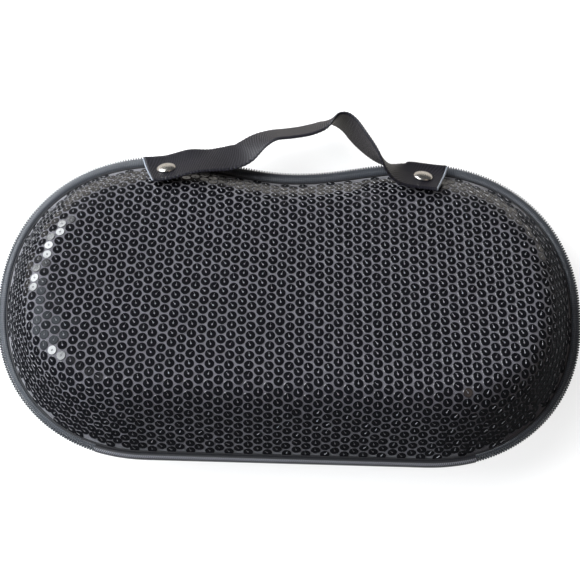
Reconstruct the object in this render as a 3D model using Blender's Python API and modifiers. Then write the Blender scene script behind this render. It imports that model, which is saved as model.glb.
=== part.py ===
"""Moulded clamshell carrying case with a webbing handle, lying on its back.

The case is drawn square to its parting plane: X runs along the hinge, Y from the hinge
to the handle, Z out of the lid. One empty then lays it down on the flat of its base.
"""
from math import acos, atan2, copysign, cos, pi, radians, sin, tan

import bmesh
import bpy
from mathutils import Matrix, Vector

MM = 0.001
NAME = "carrying_case"

# Outline of the rim: two slightly square lobes joined by a flat hinge edge and a shallow dip.
LOBE_X = 72 * MM
LOBE_A = 88 * MM
LOBE_B = 87 * MM
SQUARE = 2.17
DIP = 8.4 * MM
LOBE_STEPS = 24
DIP_STEPS = 12
FLAT_STEPS = 6

# Shell: wedge-shaped, deep at the hinge and shallow at the handle.
TILT = radians(10)
MID_DEPTH = 29 * MM
FOOT_SIDE = 5.6 * MM
FOOT_TOP = 7.0 * MM
FOOT_HINGE = 3.6 * MM
RUN_SIDE = 22.5 * MM
RUN_TOP = 24 * MM
RUN_HINGE = 27 * MM
EDGE_ROUND = 9 * MM
EDGE_KNEE = 0.62
EDGE_STEPS = (0, 1 / 3, 2 / 3, 1)

# Layers of the moulding, from outside to inside, and the fit between them.
FIT = 0.3 * MM
LINING_FIT = 0.5 * MM
SKIN = 0.8 * MM
CORE = 2.0 * MM
LINING = 0.6 * MM
CORE_INSET = SKIN + FIT
LINING_INSET = CORE_INSET + CORE + LINING_FIT
INSIDE = LINING_INSET + LINING
FLANGE_OUT = 3.4 * MM
FLANGE_TOP = 2.2 * MM
HALF_GAP = 0.2 * MM

# Zip: coil round the rim, tape on the flange, both stopping at the hinge strip.
HINGE_HALF = 99.5 * MM
HINGE_END_STEPS = 3
COIL_R = 1.0 * MM
COIL_INSET = 1.3 * MM
COIL_Z = 1.25 * MM
TAPE_OUT = 1.9 * MM
TAPE_EDGE_GAP = 0.4 * MM
TAPE = 0.6 * MM
STRIP = 0.7 * MM
INNER_TAPE_HALF = 92 * MM
INNER_TAPE_HEIGHT = 9 * MM

# Lid hinge, just outside the fabric strip.
HINGE_Y = -LOBE_B - 0.8 * MM

# Handle: one webbing strap, folded under and riveted to the lid at both ends.
STRAP_W = 25.4 * MM
STRAP_T = 1.6 * MM
HANDLE_PIVOT_Y = 84 * MM
HANDLE_PIVOT_Z = 13 * MM
RIVET_CAP_R = 5.4 * MM
RIVET_CAP_H = 2.0 * MM
RIVET_POST_R = 1.4 * MM
RIVET_GRIP = 10.1 * MM
RIVET_END = 0.4 * MM
RIVET_HOLE_R = 1.9 * MM
RIVET_BORE = 40 * MM
DOME_ANGLES = (0, 0.5, 0.95, 1.3, pi / 2)
WASHER_R = 4.2 * MM
WASHER_T = 0.8 * MM

# Route of the strap: x, y, z in millimetres, and how far the width of the webbing leans in
# from upright, in degrees. It lies on the wall up to each rivet and is free in between.
LEFT_END_ROUTE = (
    (-80, 71.4, 14.3, 50),
    (-75.5, 72.0, 14.2, 50),
    (-71, 72.7, 14.1, 50),
    (-66, 74.2, 14.0, 50),
    (-60, 76.4, 13.7, 50),
    (-52, 78.7, 13.4, 52),
    (-44, 80.3, 13.0, 55),
    (-36, 81.8, 13.0, 58),
    (-33.4, 82.6, 13.0, 57),
)
HANDLE_ROUTE = (
    (-30.8, 83.7, 13.1, 56),
    (-28, 85.3, 13.2, 54),
    (-25, 88.2, 13.5, 49),
    (-19, 92.9, 14.0, 44),
    (-13, 95.8, 14.0, 39),
    (-2, 97.7, 14.0, 38),
    (7, 99.6, 14.0, 38),
    (14, 102.4, 14.0, 36),
    (19, 105.8, 14.0, 28),
    (24, 107.1, 14.0, 12),
    (29, 105.5, 14.0, 0),
    (33, 101.7, 14.0, -5),
    (37, 96.8, 14.0, -3),
    (41, 91.9, 14.2, 1),
    (45.5, 86.5, 15.0, 7),
    (49.5, 82.0, 16.0, 16),
    (53, 78.4, 16.6, 28),
    (55.4, 76.4, 16.4, 38),
)
RIGHT_END_ROUTE = (
    (59.5, 73.6, 15.4, 48),
    (63, 72.8, 14.8, 51),
    (68, 72.4, 14.5, 51),
    (72.5, 71.9, 14.5, 51),
    (77, 71.4, 14.5, 51),
    (82, 70.8, 14.6, 51),
)
LEFT_RIVET_STOP = 2
RIGHT_RIVET_STOP = 3

# Sliders: an L-shaped body under the base coil, a bail and a hanging pull. The outlines of
# body and bail are drawn across the rim, out and up; the pull's hole is drawn as it hangs.
SLIDER_LENGTH = 9 * MM
SLIDER_BODY = ((-4, -4.4), (2.4, -4.4), (2.4, 2.2), (1.2, 2.2), (1.2, -3.5), (-4, -3.5))
BAIL_OUTER = ((1.7, -2.6), (4.6, -2.6), (4.6, 1.6), (1.7, 1.6))
BAIL_INNER = ((1.7, 0.8), (3.8, 0.8), (3.8, -1.8), (1.7, -1.8))
BAIL_W = 1.4 * MM
SLIDER_LEFT_X = -50 * MM
SLIDER_RIGHT_X = -38 * MM
LEFT_TRAVEL = (-73 * MM, -0.25 * MM)
RIGHT_TRAVEL = (0, 260 * MM)
PULL_PLATE = ((-2.5, -10.05), (2.5, -10.05), (2.5, 0.45), (-2.5, 0.45))
PULL_HOLE = ((-1.4, -4.2), (1.4, -4.2), (1.4, -0.45), (-1.4, -0.45))
PULL_T = 0.8 * MM
PULL_OUT = 3.0 * MM
PULL_Z = -0.5 * MM

# Inside: a mesh pocket in the lid and an elastic band over the floor of the base.
POCKET_DROP = 10 * MM
POCKET_T = 0.6 * MM
POCKET_TOP_Y = 8 * MM
POCKET_SIDE_GAP = 1.0 * MM
POCKET_CORNER_GAP = 1.5 * MM
ELASTIC_T = 2.0 * MM
BAND_HALF = 55 * MM
BAND_W = 30 * MM
BAND_T = 1.2 * MM
BAND_RISE = 2.5 * MM
TAB = 14 * MM

# Half the difference between how far the hinge edge and the handle stand out.
CENTRE_Y = 12.2 * MM


def clear_scene():
    for item in list(bpy.data.objects):
        bpy.data.objects.remove(item, do_unlink=True)


def material(name, colour, roughness, metallic=0.0):
    made = bpy.data.materials.new(name)
    made.use_nodes = True
    shader = made.node_tree.nodes["Principled BSDF"]
    shader.inputs["Base Color"].default_value = (*colour, 1)
    shader.inputs["Roughness"].default_value = roughness
    shader.inputs["Metallic"].default_value = metallic
    return made


def make_object(name, data, look, parent, collection):
    """Adds an object whose mesh is drawn in the case's own frame, under its joint's empty."""
    item = bpy.data.objects.new(name, data)
    collection.objects.link(item)
    item.data.materials.append(look)
    item.parent = parent
    item.location = -parent_offset(parent)
    return item


def parent_offset(parent):
    return Vector(parent["axis_point"]) if "axis_point" in parent else Vector()


def make_empty(name, location, parent, collection):
    item = bpy.data.objects.new(name, None)
    collection.objects.link(item)
    item.empty_display_size = 0.02
    if parent:
        item.parent = parent
        item.location = location - parent_offset(parent)
    item["axis_point"] = location
    return item


# --- outline ---------------------------------------------------------------------------


def signed_power(value, power):
    return copysign(abs(value) ** power, value)


def lobe_station(side, angle):
    """A point on a lobe and its outward normal; side is -1 for the left lobe."""
    across, up = cos(angle), sin(angle)
    power = 2 / SQUARE
    reach = Vector((signed_power(across, power) * LOBE_A, signed_power(up, power) * LOBE_B))
    steep = 2 - power
    normal = Vector((signed_power(across, steep) / LOBE_A, signed_power(up, steep) / LOBE_B))
    return Vector((side * LOBE_X, 0)) + reach, normal.normalized()


def lobe_turn(half):
    """Where on the lower right lobe x is the given half length of the hinge edge."""
    return -acos(((half - LOBE_X) / LOBE_A) ** (SQUARE / 2))


def dip_station(x):
    """A point on the raised-cosine dip between the lobes, and its outward normal."""
    wave = pi * x / LOBE_X
    point = Vector((x, LOBE_B - DIP * (0.5 + 0.5 * cos(wave))))
    slope = DIP * 0.5 * sin(wave) * pi / LOBE_X
    return point, Vector((-slope, 1)).normalized()


def steps(first, last, count):
    return [first + (last - first) * i / count for i in range(count + 1)]


def upper_stations(start):
    """Stations from one end of the hinge edge, round both lobes and the dip, to the other."""
    right = [lobe_station(1, a) for a in steps(start, pi / 2, LOBE_STEPS)]
    dip = [dip_station(x) for x in steps(LOBE_X, -LOBE_X, DIP_STEPS)]
    left = [lobe_station(-1, a) for a in steps(pi / 2, pi - start, LOBE_STEPS)]
    return right + dip[1:-1] + left


def closed_stations():
    flat = [(Vector((x, -LOBE_B)), Vector((0, -1))) for x in steps(-LOBE_X, LOBE_X, FLAT_STEPS)]
    return upper_stations(-pi / 2) + flat[1:-1]


def zip_stations():
    return upper_stations(lobe_turn(HINGE_HALF))


def hinge_stations(half):
    """Stations along the flat edge and a little way up both lobes."""
    end = lobe_turn(half)
    left = [lobe_station(-1, a) for a in steps(pi - end, 3 * pi / 2, HINGE_END_STEPS)]
    flat = [(Vector((x, -LOBE_B)), Vector((0, -1))) for x in steps(-LOBE_X, LOBE_X, FLAT_STEPS)]
    right = [lobe_station(1, a) for a in steps(-pi / 2, end, HINGE_END_STEPS)]
    return left + flat[1:-1] + right


# --- section through the moulded wall --------------------------------------------------


def by_facing(normal, side, top, hinge):
    """A size that changes smoothly round the rim, by which way the rim faces."""
    up = max(normal.y, 0) ** 2
    down = max(-normal.y, 0) ** 2
    return side + (top - side) * up + (hinge - side) * down


def wall_foot(normal):
    return by_facing(normal, FOOT_SIDE, FOOT_TOP, FOOT_HINGE)


def wall_run(normal):
    """How far in from the rim the wall meets the flat."""
    return by_facing(normal, RUN_SIDE, RUN_TOP, RUN_HINGE)


def tape_edge(station, height):
    """Inner edge of the tape, just clear of the foot of the wall."""
    return wall_foot(station[1]) - TAPE_EDGE_GAP, height


def flat_height(station, inset, drop=0.0):
    point, normal = station
    return MID_DEPTH - drop / cos(TILT) - (point.y - normal.y * inset) * tan(TILT)


def wall_section(station, depth, start_z):
    """Wall and rounded edge as (inset, height) points, moved inwards by depth."""
    run = wall_run(station[1])
    foot = Vector((wall_foot(station[1]), FLANGE_TOP))
    corner = Vector((run, flat_height(station, run)))
    end = Vector((run + EDGE_ROUND, flat_height(station, run + EDGE_ROUND)))
    knee = foot.lerp(corner, EDGE_KNEE)
    curve = [knee.lerp(corner, t).lerp(corner.lerp(end, t), t) for t in EDGE_STEPS]
    wall_way = (corner - foot).normalized()
    flat_way = (end - corner).normalized()
    moved = []
    for t, point in zip(EDGE_STEPS, curve):
        way = wall_way.lerp(flat_way, t).normalized()
        moved.append(point + Vector((way.y, -way.x)) * depth)
    first = foot + Vector((wall_way.y, -wall_way.x)) * depth
    first += wall_way * (start_z - first.y) / wall_way.y
    return [first] + moved


def place(station, inset, height):
    point, normal = station
    flat = point - normal * inset
    return Vector((flat.x, flat.y, height))


# --- meshes ----------------------------------------------------------------------------


def surface(name, rows, closed, cap_last, side):
    """Bridges rows of points into an open surface; side -1 turns it over for the base."""
    mesh = bmesh.new()
    flip = Vector((1, 1, side))
    verts = [[mesh.verts.new(point * flip) for point in row] for row in rows]
    for near, far in zip(verts, verts[1:]):
        edges = [make_edges(mesh, near, closed), make_edges(mesh, far, closed)]
        bmesh.ops.bridge_loops(mesh, edges=edges[0] + edges[1])
    if cap_last:
        mesh.faces.new(verts[-1])
    bmesh.ops.recalc_face_normals(mesh, faces=mesh.faces)
    mesh.faces.ensure_lookup_table()
    data = bpy.data.meshes.new(name)
    mesh.to_mesh(data)
    mesh.free()
    return data


def make_edges(mesh, row, closed):
    pairs = list(zip(row, row[1:]))
    if closed:
        pairs.append((row[-1], row[0]))
    return [mesh.edges.get(pair) or mesh.edges.new(pair) for pair in pairs]


def face_up(data, side):
    """Turns an open surface so that its faces point out of the case."""
    outward = 0.0
    for face in data.polygons:
        outward += face.normal.z * side * face.area
    if outward < 0:
        data.flip_normals()


def thicken(item, thickness, offset=-1.0):
    solid = item.modifiers.new("thickness", "SOLIDIFY")
    solid.thickness = thickness
    solid.offset = offset
    solid.use_even_offset = True
    solid.use_quality_normals = True


def smooth(item, angle=35):
    item.data.shade_smooth()
    item.data.set_sharp_from_angle(angle=radians(angle))


def extrude_outline(name, outlines, thickness):
    """A flat plate: filled 2D outlines, later ones being holes, with the given thickness."""
    curve = bpy.data.curves.new(name, "CURVE")
    curve.dimensions = "2D"
    curve.fill_mode = "BOTH"
    curve.extrude = thickness / 2
    for outline in outlines:
        spline = curve.splines.new("POLY")
        spline.points.add(len(outline) - 1)
        for point, (x, y) in zip(spline.points, outline):
            point.co = (x, y, 0, 1)
        spline.use_cyclic_u = True
    return curve


def curve_to_mesh(name, curve):
    """The mesh of a curve, with its caps welded on."""
    holder = bpy.data.objects.new(name + "_curve", curve)
    bpy.context.scene.collection.objects.link(holder)
    bpy.context.view_layer.update()
    evaluated = holder.evaluated_get(bpy.context.evaluated_depsgraph_get())
    data = bpy.data.meshes.new_from_object(evaluated)
    bpy.data.objects.remove(holder, do_unlink=True)
    mesh = bmesh.new()
    mesh.from_mesh(data)
    bmesh.ops.remove_doubles(mesh, verts=mesh.verts, dist=0.00001)
    mesh.to_mesh(data)
    mesh.free()
    return data


# --- shell halves ----------------------------------------------------------------------


def moulded_layer(name, side, look, parent, collection, depth, thickness, start_z, flange=False):
    stations = closed_stations()
    rows = []
    if flange:
        rows.append([place(s, FLANGE_OUT, FLANGE_TOP) for s in stations])
    sections = [wall_section(s, depth, start_z) for s in stations]
    for index in range(len(sections[0])):
        rows.append([place(s, *section[index]) for s, section in zip(stations, sections)])
    data = surface(name, rows, closed=True, cap_last=True, side=side)
    face_up(data, side)
    item = make_object(name, data, look, parent, collection)
    thicken(item, thickness)
    smooth(item)
    return item


def rim_ribbon(name, side, look, parent, collection, stations, section, thickness):
    """A tape along the rim through (inset, height) points and on to the foot of the wall."""
    rows = [[place(s, inset, height) for s in stations] for inset, height in section]
    rows.append([place(s, *tape_edge(s, section[-1][1])) for s in stations])
    data = surface(name, rows, closed=False, cap_last=False, side=side)
    face_up(data, side)
    item = make_object(name, data, look, parent, collection)
    thicken(item, thickness)
    smooth(item)
    return item


def zip_coil(name, side, look, parent, collection):
    curve = bpy.data.curves.new(name, "CURVE")
    curve.dimensions = "3D"
    curve.bevel_depth = COIL_R
    curve.bevel_resolution = 2
    curve.use_fill_caps = True
    curve.resolution_u = 1
    spline = curve.splines.new("POLY")
    points = [place(s, COIL_INSET, COIL_Z * side) for s in zip_stations()]
    spline.points.add(len(points) - 1)
    for knot, point in zip(spline.points, points):
        knot.co = (*point, 1)
    return make_object(name, curve, look, parent, collection)


def inner_hinge_tape(name, side, look, parent, collection):
    """Binding tape sewn inside along the hinge, over the bottom edge of the lining."""
    stations = hinge_stations(INNER_TAPE_HALF)
    low = [wall_section(s, INSIDE + FIT, FIT + LINING)[0] for s in stations]
    high = [wall_section(s, INSIDE + FIT, INNER_TAPE_HEIGHT)[0] for s in stations]
    rows = [[place(s, *p) for s, p in zip(stations, row)] for row in (high, low)]
    data = surface(name, rows, closed=False, cap_last=False, side=side)
    face_up(data, side)
    item = make_object(name, data, look, parent, collection)
    thicken(item, LINING)
    return item


def shell_half(prefix, side, looks, parent, collection):
    """All the layers and tapes of one half; returns the three that the rivets pass through."""
    skin = moulded_layer(
        prefix + "_sequin_skin", side, looks["sequin"], parent, collection,
        depth=0, thickness=SKIN, start_z=FLANGE_TOP + FIT + SKIN,
    )
    core = moulded_layer(
        prefix + "_shell", side, looks["foam"], parent, collection,
        depth=CORE_INSET, thickness=CORE, start_z=FLANGE_TOP, flange=True,
    )
    lining = moulded_layer(
        prefix + "_lining", side, looks["lining"], parent, collection,
        depth=LINING_INSET, thickness=LINING, start_z=FIT + LINING,
    )
    tape_z = FLANGE_TOP + FIT + TAPE
    rim_ribbon(
        prefix + "_zip_tape", side, looks["tape"], parent, collection,
        zip_stations(), ((TAPE_OUT, tape_z),), TAPE,
    )
    zip_coil(prefix + "_zip_coil", side, looks["coil"], parent, collection)
    strip_z = FLANGE_TOP + FIT + STRIP
    rim_ribbon(
        prefix + "_hinge_strip", side, looks["webbing"], parent, collection,
        hinge_stations(HINGE_HALF - FIT), ((0, HALF_GAP), (0, strip_z)), STRIP,
    )
    inner_hinge_tape(prefix + "_inner_hinge_tape", side, looks["tape"], parent, collection)
    return skin, core, lining


# --- handle ----------------------------------------------------------------------------


def strap_stop(route, index):
    """Centre of the webbing at one stop of its route, its direction and its width's."""
    points = [Vector(entry[:3]) * MM for entry in route]
    before = points[max(index - 1, 0)]
    after = points[min(index + 1, len(points) - 1)]
    along = (after - before).normalized()
    inward = Vector((along.y, -along.x, 0)).normalized()
    lean = radians(route[index][3])
    width = Vector((0, 0, cos(lean))) + inward * sin(lean)
    return points[index], along, width


def strap_frame(route, index):
    """Frame on the webbing: X along it, Y across it towards the rim, Z out of the wall."""
    point, along, width = strap_stop(route, index)
    out = width.cross(along).normalized()
    across = out.cross(along)
    return Matrix.Translation(point) @ Matrix((along, across, out)).transposed().to_4x4()


def strap_length(name, route, look, parent, collection):
    """A length of webbing: a ribbon whose width leans and turns along its route."""
    stops = [strap_stop(route, index) for index in range(len(route))]
    low = [point - width * STRAP_W / 2 for point, along, width in stops]
    high = [point + width * STRAP_W / 2 for point, along, width in stops]
    data = surface(name, [low, high], closed=False, cap_last=False, side=1)
    item = make_object(name, data, look, parent, collection)
    thicken(item, STRAP_T, offset=0)
    smooth(item)
    return item


def turned(name, profile, frame, look, parent, collection, count=16):
    """A solid of revolution about Z from (radius, height) points listed top to bottom."""
    mesh = bmesh.new()
    verts = [mesh.verts.new((radius, 0, height)) for radius, height in profile]
    for pair in zip(verts, verts[1:]):
        mesh.edges.new(pair)
    data = bpy.data.meshes.new(name)
    mesh.to_mesh(data)
    mesh.free()
    item = make_object(name, data, look, parent, collection)
    item.matrix_local = Matrix.Translation(-parent_offset(parent)) @ frame
    screw = item.modifiers.new("turn", "SCREW")
    screw.axis = "Z"
    screw.steps = count
    screw.render_steps = count
    screw.use_merge_vertices = True
    screw.merge_threshold = 0.00001
    screw.use_smooth_shade = True
    return item


def rivet(side_name, frame, looks, parent, collection):
    top = STRAP_T / 2 + FIT
    bottom = -(STRAP_T / 2 + RIVET_GRIP)
    dome = [(RIVET_CAP_R * sin(a), top + RIVET_CAP_H * cos(a)) for a in DOME_ANGLES]
    cap = dome + [(RIVET_POST_R, top), (RIVET_POST_R, bottom), (0, bottom)]
    turned("rivet_" + side_name, cap, frame, looks["nickel"], parent, collection)
    seat = bottom + WASHER_T + RIVET_END
    ring = [
        (RIVET_HOLE_R, seat),
        (WASHER_R, seat),
        (WASHER_R, seat - WASHER_T),
        (RIVET_HOLE_R, seat - WASHER_T),
        (RIVET_HOLE_R, seat),
    ]
    turned("rivet_washer_" + side_name, ring, frame, looks["nickel"], parent, collection)


def bore(item, cutter):
    cut = item.modifiers.new("bore_" + cutter.name, "BOOLEAN")
    cut.operation = "DIFFERENCE"
    cut.solver = "EXACT"
    cut.object = cutter


def rivet_cutter(name, frame, parent, collection):
    mesh = bmesh.new()
    bmesh.ops.create_cone(
        mesh, cap_ends=True, segments=16,
        radius1=RIVET_HOLE_R, radius2=RIVET_HOLE_R, depth=RIVET_BORE,
    )
    data = bpy.data.meshes.new(name)
    mesh.to_mesh(data)
    mesh.free()
    item = bpy.data.objects.new(name, data)
    collection.objects.link(item)
    item.parent = parent
    item.matrix_local = Matrix.Translation(-parent_offset(parent)) @ frame
    item.hide_render = True
    item.display_type = "WIRE"
    return item


# --- sliders ---------------------------------------------------------------------------


def rim_frame(point, normal):
    """Frame on the rim: X along it, Y out of it, Z up."""
    along = Vector((normal.y, -normal.x, 0))
    out = Vector((normal.x, normal.y, 0))
    frame = Matrix((along, out, Vector((0, 0, 1)))).transposed().to_4x4()
    return Matrix.Translation((point.x, point.y, 0)) @ frame


def scaled(outline):
    return [(x * MM, y * MM) for x, y in outline]


def slider(side_name, point, normal, looks, parent, collection, cutters):
    """The slider body with its bail, standing on the rim."""
    across = Matrix(((0, 0, 1, 0), (1, 0, 0, 0), (0, 1, 0, 0), (0, 0, 0, 1)))
    name = "zip_slider_" + side_name
    frame = rim_frame(point, normal)
    body = curve_to_mesh(name, extrude_outline(name, [scaled(SLIDER_BODY)], SLIDER_LENGTH))
    loop = scaled(BAIL_OUTER + BAIL_INNER)
    bail = curve_to_mesh(name + "_bail", extrude_outline(name + "_bail", [loop], BAIL_W))
    for data in (body, bail):
        data.transform(frame @ across)
    item = make_object(name, body, looks["nickel"], parent, collection)
    tool = make_object(name + "_bail", bail, looks["nickel"], parent, cutters)
    tool.hide_render = True
    tool.display_type = "WIRE"
    join = item.modifiers.new("bail", "BOOLEAN")
    join.operation = "UNION"
    join.solver = "EXACT"
    join.object = tool
    return frame


def pull(side_name, frame, looks, parent, collection):
    """The pull hangs by its crossbar inside the bail, straight down as the case lies."""
    name = "zip_pull_" + side_name
    outlines = [scaled(PULL_PLATE), scaled(PULL_HOLE)]
    data = curve_to_mesh(name, extrude_outline(name, outlines, PULL_T))
    upright = Matrix(((1, 0, 0, 0), (0, 0, 1, 0), (0, 1, 0, 0), (0, 0, 0, 1)))
    hang = Matrix.Translation((0, PULL_OUT, PULL_Z)) @ Matrix.Rotation(TILT, 4, "X")
    data.transform(frame @ hang @ upright)
    data.flip_normals()
    return make_object(name, data, looks["nickel"], parent, collection)


# --- inside ----------------------------------------------------------------------------


def inset_on_plane(station, drop):
    """Where the inner face of the wall crosses a plane the given way under the flat."""
    section = wall_section(station, INSIDE + FIT, 0)
    for near, far in zip(section, section[1:]):
        near_gap = flat_height(station, near.x, drop) - near.y
        far_gap = flat_height(station, far.x, drop) - far.y
        if near_gap >= 0 > far_gap:
            return near.x + (far.x - near.x) * near_gap / (near_gap - far_gap)
    return section[-1].x


def pocket(looks, parent, collection):
    """A mesh panel under the lid, over its hinge half, with an elastic hem across the top."""
    outline = []
    for station in closed_stations():
        inset = inset_on_plane(station, POCKET_DROP)
        outline.append(station[0] - station[1] * (inset + POCKET_SIDE_GAP))
    below = [p for p in outline if p.y < POCKET_TOP_Y]
    right = min((p for p in outline if p.x > 0), key=lambda p: abs(p.y - POCKET_TOP_Y))
    low = sorted(below, key=lambda p: atan2(p.y - POCKET_TOP_Y, p.x))
    half = abs(right.x) - POCKET_CORNER_GAP
    corners = [Vector((half, POCKET_TOP_Y)), Vector((-half, POCKET_TOP_Y))]
    points = [corners[1]] + low + [corners[0]]
    tall = MID_DEPTH - POCKET_DROP / cos(TILT)
    tilt = Matrix.Translation((0, 0, tall)) @ Matrix.Rotation(-TILT, 4, "X")
    stretch = 1 / cos(TILT)
    flat = [(p.x, p.y * stretch) for p in points]
    panel = curve_to_mesh("lid_mesh_pocket", extrude_outline("lid_mesh_pocket", [flat], POCKET_T))
    panel.transform(tilt)
    make_object("lid_mesh_pocket", panel, looks["mesh"], parent, collection)
    hem = bpy.data.curves.new("lid_pocket_elastic", "CURVE")
    hem.dimensions = "3D"
    hem.bevel_depth = ELASTIC_T / 2
    hem.bevel_resolution = 2
    hem.use_fill_caps = True
    hem.resolution_u = 1
    spline = hem.splines.new("POLY")
    spline.points.add(1)
    height = tilt @ Vector((0, (POCKET_TOP_Y + FIT + ELASTIC_T / 2) * stretch, 0))
    for knot, x in zip(spline.points, (-half, half)):
        knot.co = (x, height.y, height.z, 1)
    make_object("lid_pocket_elastic", hem, looks["webbing"], parent, collection)


def band_box(name, size, centre, look, parent, collection):
    mesh = bmesh.new()
    bmesh.ops.create_cube(mesh, size=1)
    bmesh.ops.scale(mesh, vec=size, verts=mesh.verts)
    floor = Matrix.Translation((0, 0, -MID_DEPTH + INSIDE / cos(TILT)))
    lay = floor @ Matrix.Rotation(TILT, 4, "X") @ Matrix.Translation(centre)
    bmesh.ops.transform(mesh, matrix=lay, verts=mesh.verts)
    data = bpy.data.meshes.new(name)
    mesh.to_mesh(data)
    mesh.free()
    return make_object(name, data, look, parent, collection)


def retainer(looks, parent, collection):
    """An elastic band across the floor of the base, sewn down under a tab at each end."""
    middle = Vector((0, 0, BAND_RISE + BAND_T / 2))
    size = (2 * BAND_HALF, BAND_W, BAND_T)
    band_box("retainer_band", size, middle, looks["webbing"], parent, collection)
    tab_size = (TAB, BAND_W, BAND_RISE - 2 * FIT)
    for word, side in (("left", -1), ("right", 1)):
        centre = Vector((side * (BAND_HALF - TAB / 2), 0, BAND_RISE / 2))
        band_box("retainer_tab_" + word, tab_size, centre, looks["lining"], parent, collection)


# --- assembly --------------------------------------------------------------------------


def main():
    clear_scene()
    case = bpy.data.collections.new(NAME)
    cutters = bpy.data.collections.new(NAME + "_cutters")
    for group in (case, cutters):
        bpy.context.scene.collection.children.link(group)

    looks = {
        "sequin": material("sequin_fabric", (0.035, 0.035, 0.042), 0.35),
        "foam": material("moulded_foam", (0.02, 0.02, 0.022), 0.8),
        "lining": material("velour_lining", (0.03, 0.03, 0.034), 0.9),
        "tape": material("zip_tape", (0.05, 0.055, 0.065), 0.7),
        "coil": material("nylon_coil", (0.03, 0.03, 0.035), 0.4),
        "webbing": material("webbing", (0.035, 0.035, 0.045), 0.75),
        "mesh": material("pocket_mesh", (0.04, 0.04, 0.045), 0.8),
        "nickel": material("nickel", (0.62, 0.59, 0.55), 0.25, 1.0),
    }

    lying = make_empty("case_frame", Vector(), None, case)
    lying.rotation_euler = (-TILT, 0, 0)
    lying.location = (0, -CENTRE_Y, MID_DEPTH * cos(TILT))
    lid_axis = make_empty("lid_axis", Vector((0, HINGE_Y, 0)), lying, case)
    handle_pivot = Vector((0, HANDLE_PIVOT_Y, HANDLE_PIVOT_Z))
    handle_axis = make_empty("handle_axis", handle_pivot, lid_axis, case)

    shell_half("base", -1, looks, lying, case)
    lid_layers = shell_half("lid", 1, looks, lid_axis, case)
    retainer(looks, lying, case)
    pocket(looks, lid_axis, case)

    strap_length("handle_strap", HANDLE_ROUTE, looks["webbing"], handle_axis, case)
    ends = (
        ("left", LEFT_END_ROUTE, LEFT_RIVET_STOP),
        ("right", RIGHT_END_ROUTE, RIGHT_RIVET_STOP),
    )
    for word, route, stop in ends:
        frame = strap_frame(route, stop)
        cutter = rivet_cutter("rivet_bore_" + word, frame, lid_axis, cutters)
        end = strap_length("strap_end_" + word, route, looks["webbing"], lid_axis, case)
        for item in (end, *lid_layers):
            bore(item, cutter)
        rivet(word, frame, looks, lid_axis, case)

    spots = (
        ("left", SLIDER_LEFT_X, LEFT_TRAVEL),
        ("right", SLIDER_RIGHT_X, RIGHT_TRAVEL),
    )
    for word, x, centre in spots:
        point = dip_station(x)[0]
        normal = (point - Vector(centre)).normalized()
        normal *= copysign(1, normal.y)
        axis = make_empty(word + "_travel", Vector((*centre, 0)), lying, case)
        frame = slider(word, point, normal, looks, axis, case, cutters)
        pivot = frame @ Vector((0, PULL_OUT, PULL_Z))
        pull_axis = make_empty("pull_axis_" + word, pivot, axis, case)
        pull(word, frame, looks, pull_axis, case)


main()
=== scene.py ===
from math import acos, cos, pi, radians, sin, tan

import bmesh
import bpy
import numpy as np
from mathutils import Matrix, Vector


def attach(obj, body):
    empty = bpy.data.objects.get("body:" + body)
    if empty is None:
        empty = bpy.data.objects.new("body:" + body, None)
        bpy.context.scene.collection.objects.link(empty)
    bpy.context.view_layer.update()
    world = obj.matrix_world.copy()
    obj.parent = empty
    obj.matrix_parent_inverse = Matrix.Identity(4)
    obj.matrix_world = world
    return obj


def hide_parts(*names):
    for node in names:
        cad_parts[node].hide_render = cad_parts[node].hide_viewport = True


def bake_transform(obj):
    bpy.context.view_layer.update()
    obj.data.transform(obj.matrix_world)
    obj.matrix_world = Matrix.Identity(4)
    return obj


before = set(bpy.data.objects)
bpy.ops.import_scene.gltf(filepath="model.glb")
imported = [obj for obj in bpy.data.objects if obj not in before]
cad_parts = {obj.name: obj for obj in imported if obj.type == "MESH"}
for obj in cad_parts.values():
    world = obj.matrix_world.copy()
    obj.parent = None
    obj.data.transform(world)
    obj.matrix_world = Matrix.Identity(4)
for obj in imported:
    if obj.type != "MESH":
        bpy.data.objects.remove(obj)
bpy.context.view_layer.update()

chance = np.random.default_rng(7)
MM = 0.001

# --- driving sizes, the same as the CAD part's ---
LOBE_X, LOBE_A, LOBE_B, SQUARE, DIP = 72 * MM, 88 * MM, 87 * MM, 2.17, 8.4 * MM
CENTRE_Y = 12.2 * MM
TILT, MID_DEPTH = radians(10), 29 * MM
FOOT_SIDE, FOOT_TOP, FOOT_HINGE, EDGE_ROUND = 5.6 * MM, 7.0 * MM, 3.6 * MM, 9 * MM
EDGE_KNEE = 0.62
RUN_SIDE, RUN_TOP, RUN_HINGE = 22.5 * MM, 24 * MM, 27 * MM
FIT, SKIN, CORE, LINING = 0.3 * MM, 0.8 * MM, 2.0 * MM, 0.6 * MM
CORE_INSET = SKIN + FIT
LINING_FIT = 0.5 * MM
LINING_INSET = CORE_INSET + CORE + LINING_FIT
INSIDE = LINING_INSET + LINING
COVER_START = 0.2 * MM
FLANGE_OUT, FLANGE_TOP = 3.4 * MM, 2.2 * MM
HINGE_HALF, HINGE_LAP = 99.5 * MM, 0.8 * MM
TAPE_EDGE_GAP, STRIP = 0.4 * MM, 0.7 * MM
INNER_TAPE_HALF, INNER_TAPE_HEIGHT, INNER_COLUMNS = 92 * MM, 9 * MM, 5
HINGE_RIB, HINGE_SLANT, HINGE_RIDGE = 1.1 * MM, 2.2 * MM, (2.3 * MM, 2.7 * MM, 3.9 * MM, 4.3 * MM)
ELASTIC_RIB = 1.2 * MM
STRAP_W, STRAP_T = 25.4 * MM, 1.6 * MM
POCKET_DROP, POCKET_TOP_Y, ELASTIC_T = 10 * MM, 8 * MM, 2.0 * MM
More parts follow.
